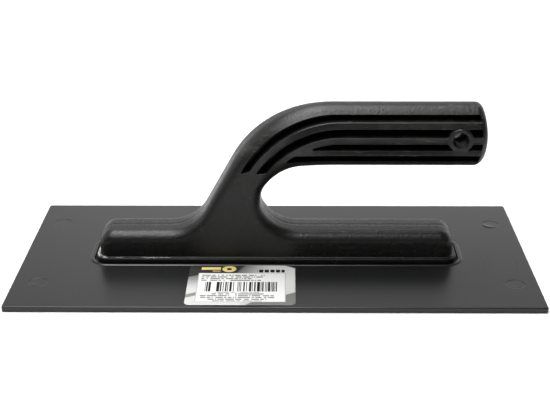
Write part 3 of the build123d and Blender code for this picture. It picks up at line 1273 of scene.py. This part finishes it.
    def side(self) -> tuple[np.ndarray, list[tuple[int, ...]], dict[str, np.ndarray]]:
        """One side: its edge, slots and boss, with the surface between them.

        Returns:
            Its points (x, z, half width), its faces, turning left in the side view, and the vertex
            numbers of its rows "edge", "bore" and "base".
        """
        builder = MeshBuilder("side")
        bands = self.edge_bands(builder)
        inner = builder.rows[-1][:, :2]
        run = np.linspace(inner[0, 0], inner[-1, 0], self.base_points)[1:-1]
        below = np.column_stack([run, np.full(len(run), self.base)])
        floor = builder.add(np.column_stack([below, self.relief(below)]))
        patch = Patch(builder, np.vstack([inner, below[::-1]]), np.append(bands[-1], floor[::-1]))
        for outline in self.slots():
            rings = self.terraces(outline)
            made = builder.loft(rings)
            patch.cut([rings[0][:, :2], rings[-1][:, :2]], [made[0], made[-1]])
        rings = self.boss_rings()
        boss = builder.loft(rings)
        patch.cut([rings[0][:, :2]], [boss[0]])
        left, bottom, right, top = self.grid
        columns, levels = np.arange(left, right, self.pitch), np.arange(bottom, top, self.pitch * 0.866)
        gx, gz = np.meshgrid(columns, levels, indexing="ij")
        gx = gx + (np.arange(len(levels)) % 2) * self.pitch / 2
        across = patch.scatter(np.column_stack([gx.ravel(), gz.ravel()]), self.clear)
        across = across[across[:, 1] > self.base + self.base_clear]
        low = np.any([inside(across, foot) for _, foot in patch.gaps if foot is not None], axis=0)
        patch.fill(np.column_stack([across, np.where(low, self.web, self.relief(across))]))
        base = np.concatenate([[band[0] for band in bands], floor, [band[-1] for band in bands[::-1]]])
        rows = {"edge": bands[0], "bore": boss[-1], "base": base.astype(int)}
        return np.vstack(builder.rows), builder.faces, rows

    def build(self) -> bpy.types.Object:
        """Joins both sides with the land between them, the bore, the base and the flange."""
        points, faces, rows = self.side()
        builder = MeshBuilder("handle_shell")
        x, z, half = points.T
        near = builder.add(np.column_stack([x, -half, z]) + self.lift)
        builder.add(np.column_stack([x, half, z]) + self.lift)
        offset = len(near)
        builder.faces += faces
        builder.faces += [tuple(k + offset for k in f[::-1]) for f in faces]
        self.land(builder, rows["edge"], half[rows["edge"]], offset)
        builder.bridge(rows["base"] + offset, rows["base"], False)
        self.bore(builder, rows["bore"], offset)
        self.flange(builder)
        piece = builder.build(Slot.HANDLE, "handle", 38.0)
        piece.data.materials.append(HandlePlastic().material())
        return piece

    def land(self, builder: MeshBuilder, edge: np.ndarray, half: np.ndarray, offset: int) -> None:
        """The drafted land between the two sides, with a fine bead along the parting line.

        Args:
            builder: Where the faces go.
            edge: The near side's edge row.
            half: The half width at each of its points.
            offset: What is added to a near vertex number for the far one.
        """
        inward = normals_right(self.line, False)
        slip = self.slip()
        bead = np.minimum(self.parting_bead, slip * 0.5)
        strips = [edge]
        for part, sink in self.land_strips:
            sunk = slip * sink + (bead if abs(part) < 0.02 else 0.0)
            at = self.line + inward * sunk[:, None]
            strips.append(builder.add(np.column_stack([at[:, 0], half * part, at[:, 1]]) + self.lift))
        strips.append(edge + offset)
        builder.join(strips, False)
        builder.cap(np.array([strip[0] for strip in strips]))
        builder.cap(np.array([strip[-1] for strip in strips])[::-1])

    def bore(self, builder: MeshBuilder, ring: np.ndarray, offset: int) -> None:
        """The bore's wall with a ragged skin of flash left around its middle.

        Args:
            builder: Where the faces go.
            ring: The near mouth's inner ring.
            offset: What is added to a near vertex number for the far one.
        """
        loop = circle(self.hole, self.hole_radius, self.boss_points)
        angle = np.linspace(0, 2 * math.pi, self.boss_points, endpoint=False)
        least, most = self.flash
        ragged = self.hole_radius - least - most * np.clip(np.cos(angle + self.flash_side), 0, 1) ** 1.5
        skin = np.array(self.hole) + (loop - self.hole) / self.hole_radius * ragged[:, None]
        near_half = ((loop, self.bore_straight), (loop, self.flash_root), (skin, self.flash_half))
        levels = [(shape, -level) for shape, level in near_half] + list(near_half[::-1])
        rings = [ring]
        for shape, level in levels:
            at = np.column_stack([shape[:, 0], np.full(len(shape), level), shape[:, 1]])
            rings.append(builder.add(at + self.lift))
        builder.join([*rings, ring + offset], True)

    def flange(self, builder: MeshBuilder) -> None:
        """The flange: a profile of (distance inside its outline, height) carried round its plan."""
        rings = [raised(around_flange(-inset), height) for inset, height in self.flange_profile]
        made = builder.loft([ring + self.lift for ring in rings])
        builder.cap(made[-1])
        builder.cap(made[0][::-1])


# ----------------------------------------------------------------------------------------------- blade


@dataclass
class Blade:
    """The flat blade with the collar that seats the handle and four ejector marks."""

    # The rim, from the underside over the parting step to the top: distance inwards, and height.
    rim: tuple[tuple[float, float], ...] = (
        (0.9, 0.0),
        (0.35, 0.0),
        (0.16, 0.12),
        (0.10, 0.35),
        (0.06, 1.30),
        (0.14, 1.36),
        (0.14, 1.50),
        (0.02, 1.56),
        (0.0, 2.45),
        (0.05, 2.70),
        (0.17, 2.88),
        (0.36, 2.98),
        (0.60, BLADE_TOP),
        (1.2, BLADE_TOP),
    )
    corner: float = 1.3
    pitch: float = 6.0
    grid: tuple[float, float] = (130.0, 60.0)
    clear: float = 1.5
    collar_gap: float = 1.1
    collar_width: float = 2.3
    collar_height: float = 0.40
    channel_depth: float = 1.6
    marks: tuple[tuple[float, float], ...] = (
        (122.5, 37.4),
        (-122.4, 38.6),
        (-121.9, -37.7),
        (123.2, -38.6),
    )
    mark_tilts: tuple[float, ...] = (0.30, 0.05, 0.10, 0.05)
    # A mark, from its flat surround inwards: radius, share of the tilt, and depth of its groove.
    mark_profile: tuple[tuple[float, float, float], ...] = (
        (5.3, 0.0, 0.0),
        (4.75, 0.0, 0.0),
        (4.66, 0.0, 0.05),
        (4.50, 0.1, 0.05),
        (4.42, 1.0, 0.0),
        (2.4, 0.25, 0.0),
    )
    mark_radius: float = 4.4
    mark_points: int = 48

    def build(self) -> bpy.types.Object:
        """Carries the rim profile round the blade and fills its top around the collar and the marks."""
        low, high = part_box("float_plate")
        half_x, half_y = (high.x - low.x) / 2 / MM, (high.y - low.y) / 2 / MM
        builder = MeshBuilder("blade_body")
        loops = []
        for inset, _ in self.rim:
            radius = self.corner - min(inset, 1.0)
            loops.append(rounded_rectangle(half_x - inset, half_y - inset, radius, SPACING))
        outer = builder.loft([raised(loop, height) for loop, (_, height) in zip(loops, self.rim)])
        builder.cap(outer[0][::-1])
        top = Patch(builder, loops[-1], outer[-1])
        self.collar(builder, top)
        for centre, tilt in zip(self.marks, self.mark_tilts):
            self.mark(builder, top, np.array(centre), tilt)
        gx, gy = np.meshgrid(*(np.arange(-half, half + 1.0, self.pitch) for half in self.grid), indexing="ij")
        across = top.scatter(np.column_stack([gx.ravel(), gy.ravel()]), self.clear)
        top.fill(raised(across, BLADE_TOP))
        piece = builder.build(Slot.BLADE, "float_plate", 30.0)
        piece.data.materials.append(BladePlastic().material())
        return piece

    def collar(self, builder: MeshBuilder, top: Patch) -> None:
        """The collar and the channel inside it, from the outer foot inwards, closed under the handle.

        Args:
            builder: Where the faces go.
            top: The blade's top, which gets a gap here.
        """
        gap, out = self.collar_gap, self.collar_gap + self.collar_width
        high, deep = BLADE_TOP + self.collar_height, BLADE_TOP - self.channel_depth
        profile = (
            (out + 0.9, BLADE_TOP),
            (out + 0.25, BLADE_TOP),
            (out + 0.05, BLADE_TOP + 0.03),
            (out - 0.10, BLADE_TOP + 0.10),
            (out - 0.34, high - 0.08),
            (out - 0.55, high - 0.01),
            (out - 0.9, high),
            (gap + 0.7, high),
            (gap + 0.3, high - 0.05),
            (gap + 0.1, high - 0.18),
            (gap, BLADE_TOP),
            (gap, deep),
            (-0.5, deep),
        )
        made = builder.loft([raised(around_flange(margin), height) for margin, height in profile])
        builder.cap(made[-1])
        top.cut([around_flange(profile[0][0])], [made[0]])

    def mark(self, builder: MeshBuilder, top: Patch, centre: np.ndarray, tilt: float) -> None:
        """An ejector mark: a shallow disc in a fine groove that stands proud at its near left.

        Args:
            builder: Where the faces go.
            top: The blade's top, which gets a gap here.
            centre: The mark's place on the blade.
            tilt: How far the disc stands proud.
        """
        toward = np.array([-0.62, -0.78])
        rings = []
        for radius, share, sink in self.mark_profile:
            ring = circle(centre, radius, self.mark_points)
            side = np.clip((ring - centre) @ toward / self.mark_radius, 0, 1) ** 1.5
            rings.append(np.column_stack([ring, BLADE_TOP + share * tilt * side - sink]))
        made = builder.loft(rings)
        builder.cap(made[-1])
        top.cut([rings[0][:, :2]], [made[0]])


# -------------------------------------------------------------------------------- adhesive and label


@dataclass(frozen=True)
class Squeezed:
    """A bead of glue that came out beside the foot: where it runs, and its half width and flatness."""

    left: float
    right: float
    behind: float
    size: float
    flat: float


@dataclass
class Adhesive:
    """The glue line in the channel, and what was squeezed out at the left end of the foot."""

    line_margin: float = 0.3
    line_height: float = 1.7
    line_radius: float = 0.45
    bead_height: float = 5.30
    foot_half: tuple[float, float] = (94.9, 12.9)
    foot_corner: float = 5.4
    around: int = 12
    beads: tuple[Squeezed, ...] = (
        Squeezed(-math.inf, -88.3, 9.5, 0.90, 0.5),
        Squeezed(-86.6, -80.5, 0.0, 0.55, 0.5),
        Squeezed(-71.8, -55.0, 0.0, 0.36, 0.55),
    )

    def tube(self, builder: MeshBuilder, path: np.ndarray, radius: np.ndarray, flat: float) -> None:
        """A closed bead: rings across a path, flattened in height, with flat ends.

        Args:
            builder: Where the faces go.
            path: The bead's centre line.
            radius: Its radius at each point.
            flat: Its height as a share of its width.
        """
        along = np.gradient(path, axis=0)
        along /= np.linalg.norm(along, axis=1, keepdims=True)
        up = np.array([0.0, 0.0, 1.0])
        across = np.cross(along, up)
        across /= np.maximum(np.linalg.norm(across, axis=1, keepdims=True), TINY)
        angle = np.linspace(0, 2 * math.pi, self.around, endpoint=False)
        ring = (
            path[:, None, :]
            + across[:, None, :] * (np.cos(angle)[None, :, None] * radius[:, None, None])
            + up * (np.sin(angle)[None, :, None] * radius[:, None, None] * flat)
        )
        numbers = builder.add(ring.reshape(-1, 3)).reshape(len(path), self.around)
        builder.join(list(numbers[::-1]), True)
        builder.cap(numbers[0])
        builder.cap(numbers[-1][::-1])

    def line(self, builder: MeshBuilder) -> None:
        """The thin line of glue round the channel."""
        loop = resample(np.roll(around_flange(self.line_margin), -20, axis=0), 1.0, True)
        line = raised(loop, self.line_height + 0.05 * wobble(loop, 3, 6.0))
        line = np.vstack([line, line[:1] + 0.01])
        self.tube(builder, line, np.full(len(line), self.line_radius), 0.9)

    def bead(self, builder: MeshBuilder, bead: Squeezed, seed: int) -> None:
        """One squeezed-out bead along the foot's side, of uneven width and with thin ends.

        Args:
            builder: Where the faces go.
            bead: Where it runs and its size.
            seed: What tells its waviness from the others'.
        """
        foot = rounded_rectangle(*self.foot_half, self.foot_corner, 0.8) + np.array([FLANGE_X, 0.0])
        foot = resample(foot, 0.35, True)
        path = foot[(foot[:, 0] > bead.left) & (foot[:, 0] < bead.right) & (foot[:, 1] < bead.behind)]
        ends = np.minimum(np.arange(len(path)), np.arange(len(path))[::-1])
        rough = 1 + 0.45 * wobble(path, 11 + seed, 2.2) + 0.5 * wobble(path, 21 + seed, 7.0)
        left = 1.0 + 0.5 * np.clip((-88.0 - path[:, 0]) / 6.0, 0, 1)
        width = np.clip(bead.size * rough * left, 0.10, 1.0) * np.clip(ends / 6.0, 0.04, 1)
        drift = 0.15 * wobble(path, 31 + seed, 3.0)
        centre = raised(path + drift[:, None], self.bead_height + 0.10 * width)
        self.tube(builder, centre, width, bead.flat)

    def build(self) -> bpy.types.Object:
        """Lays the line and the beads, and marks the beads' points as squeezed out."""
        builder = MeshBuilder("adhesive_line")
        self.line(builder)
        thin = builder.count
        for seed, bead in enumerate(self.beads):
            self.bead(builder, bead, seed)
        piece = builder.build(Slot.GLUE, "adhesive_bead", 60.0)
        squeezed = (np.arange(len(piece.data.vertices)) >= thin).astype(np.float32)
        layer = piece.data.attributes.new("squeezed", "FLOAT", "POINT")
        layer.data.foreach_set("value", squeezed)
        piece.data.materials.append(Glue().material())
        return piece


@dataclass
class Label:
    """The paper sticker: a thin sheet with rounded corners, one of which has begun to lift."""

    radius: float = 2.5
    # From the middle of the underside round the edge to the middle of the top: inset, and height.
    profile: tuple[tuple[float, float], ...] = (
        (8.0, 3.01),
        (0.02, 3.01),
        (0.0, 3.04),
        (0.0, 3.10),
        (0.03, 3.12),
        (1.5, 3.12),
        (8.0, 3.12),
    )
    # The lifted corner: how high it rises, and where on the diagonal and over how far the rise goes.
    lift: float = 0.35
    lift_from: float = 33.0
    lift_over: float = 4.0

    def build(self) -> bpy.types.Object:
        """Makes the sheet from nested rounded rectangles, top and bottom."""
        low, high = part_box("label")
        centre = np.array([(low.x + high.x) / 2, (low.y + high.y) / 2]) / MM
        half = np.array([(high.x - low.x) / 2, (high.y - low.y) / 2]) / MM
        builder = MeshBuilder("label_sheet")
        rings = []
        for inset, height in self.profile:
            loop = rounded_rectangle(half[0] - inset, half[1] - inset, self.radius, 1.5)
            beyond = loop @ np.array([-0.7, -0.7]) - self.lift_from
            risen = self.lift * np.clip(beyond / self.lift_over, 0, 1) ** 2
            rings.append(raised(loop + centre, height + risen))
        made = builder.loft(rings)
        builder.cap(made[-1])
        builder.cap(made[0][::-1])
        piece = builder.build(Slot.LABEL, "label", 40.0)
        piece.data.materials.append(LabelPaper(centre=tuple((centre * MM).tolist())).material())
        return piece


# ------------------------------------------------------------------------------------------------ studio


@dataclass(frozen=True)
class Lamp:
    """A rectangular soft light that points at the handle: place and size in metres, power in watts."""

    name: str
    at: tuple[float, float, float]
    size: tuple[float, float]
    power: float

    def build(self) -> None:
        """Makes the light and turns it to the handle."""
        data = bpy.data.lights.new(self.name, "AREA")
        data.shape, data.energy = "RECTANGLE", self.power
        data.size, data.size_y = self.size
        lamp = bpy.data.objects.new(self.name, data)
        toward = Vector((0.0, 0.0, 0.04)) - Vector(self.at)
        turn = toward.to_track_quat("-Z", "Y").to_matrix().to_4x4()
        lamp.matrix_world = Matrix.Translation(self.at) @ turn
        bpy.context.scene.collection.objects.link(lamp)


@dataclass
class Studio:
    """A white table, soft light from above and behind, and the camera."""

    lens: float = 75.44
    place: tuple[float, float, float] = (0.005488, -0.568266, 0.268635)
    yaw: float = 0.579
    pitch: float = 22.811
    roll: float = -0.116
    lamps: tuple[Lamp, ...] = (
        Lamp("overhead", (-0.20, 0.04, 1.1), (1.4, 0.60), 24.0),
        Lamp("left_fill", (-1.2, 0.15, 0.65), (0.5, 0.5), 1.6),
        Lamp("front_fill", (0.1, -1.3, 1.2), (1.2, 0.7), 1.5),
    )

    def floor(self) -> None:
        """A wide matt white floor under the blade, light grey well in front of it."""
        mesh = bpy.data.meshes.new("floor")
        reach = 6.0
        corners = [(-reach, -reach, 0.0), (reach, -reach, 0.0), (reach, reach, 0.0), (-reach, reach, 0.0)]
        mesh.from_pydata(corners, [], [(0, 1, 2, 3)])
        piece = bpy.data.objects.new("floor", mesh)
        bpy.context.scene.collection.objects.link(piece)
        s = Shader(bpy.data.materials.new("floor_white"))
        place = s.place()
        _, y, _ = s.axes(place)
        paper = s.blend(s.noise(place, 3.0, 2.0), (0.93, 0.93, 0.93), (0.95, 0.95, 0.95))
        paper = s.blend((y * -1.0).ramp(0.16, 0.26), paper, (0.45, 0.45, 0.45))
        mesh.materials.append(s.finish(Base_Color=paper, Roughness=0.9))

    def surroundings(self) -> None:
        """A white room behind that dims with height and far to the left, and a dark one in front."""
        s = Shader(bpy.data.worlds.new("studio"))
        x, y, z = s.axes(s.node("ShaderNodeTexCoord", {}, {}, "Generated"))
        behind = y.ramp(-0.25, 0.45, 0.10, 1.0)
        above = z.ramp(0.33, 0.60, 1.52, 0.36)
        right = x.ramp(-0.20, 0.25, 1.08, 0.90)
        far_left = x.ramp(-0.24, -0.12, 0.70, 1.0)
        bpy.context.scene.world = s.finish(Strength=behind * above * right * far_left)

    def camera(self) -> None:
        """Sets the camera: its place, and its turn from yaw, pitch and roll."""
        data = bpy.data.cameras.new("camera")
        data.lens, data.sensor_width = self.lens, 36.0
        data.clip_start, data.clip_end = 0.01, 50.0
        a, b, c = (math.radians(v) for v in (self.yaw, self.pitch, self.roll))
        ahead = Vector((-math.sin(a) * math.cos(b), math.cos(a) * math.cos(b), -math.sin(b)))
        right = Vector((math.cos(a), math.sin(a), 0.0))
        up = right.cross(ahead)
        across = right * math.cos(c) + up * math.sin(c)
        above = up * math.cos(c) - right * math.sin(c)
        turn = Matrix((across, above, -ahead)).transposed().to_4x4()
        eye = bpy.data.objects.new("camera", data)
        eye.matrix_world = Matrix.Translation(self.place) @ turn
        bpy.context.scene.collection.objects.link(eye)
        bpy.context.scene.camera = eye

    def build(self) -> None:
        """Sets up floor, surroundings, lights, camera and plain colour handling."""
        self.floor()
        self.surroundings()
        for lamp in self.lamps:
            lamp.build()
        self.camera()
        bpy.context.scene.view_settings.view_transform = "Standard"


def main() -> None:
    """Builds every piece in order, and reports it."""
    logging.basicConfig(level=logging.INFO, format="%(name)s %(message)s")
    for part in (Handle(), Blade(), Adhesive(), Label()):
        piece = part.build()
        mesh = piece.data
        LOG.info("%s: %d points, %d faces", piece.name, len(mesh.vertices), len(mesh.polygons))
    Studio().build()


if __name__ == "__main__":
    main()
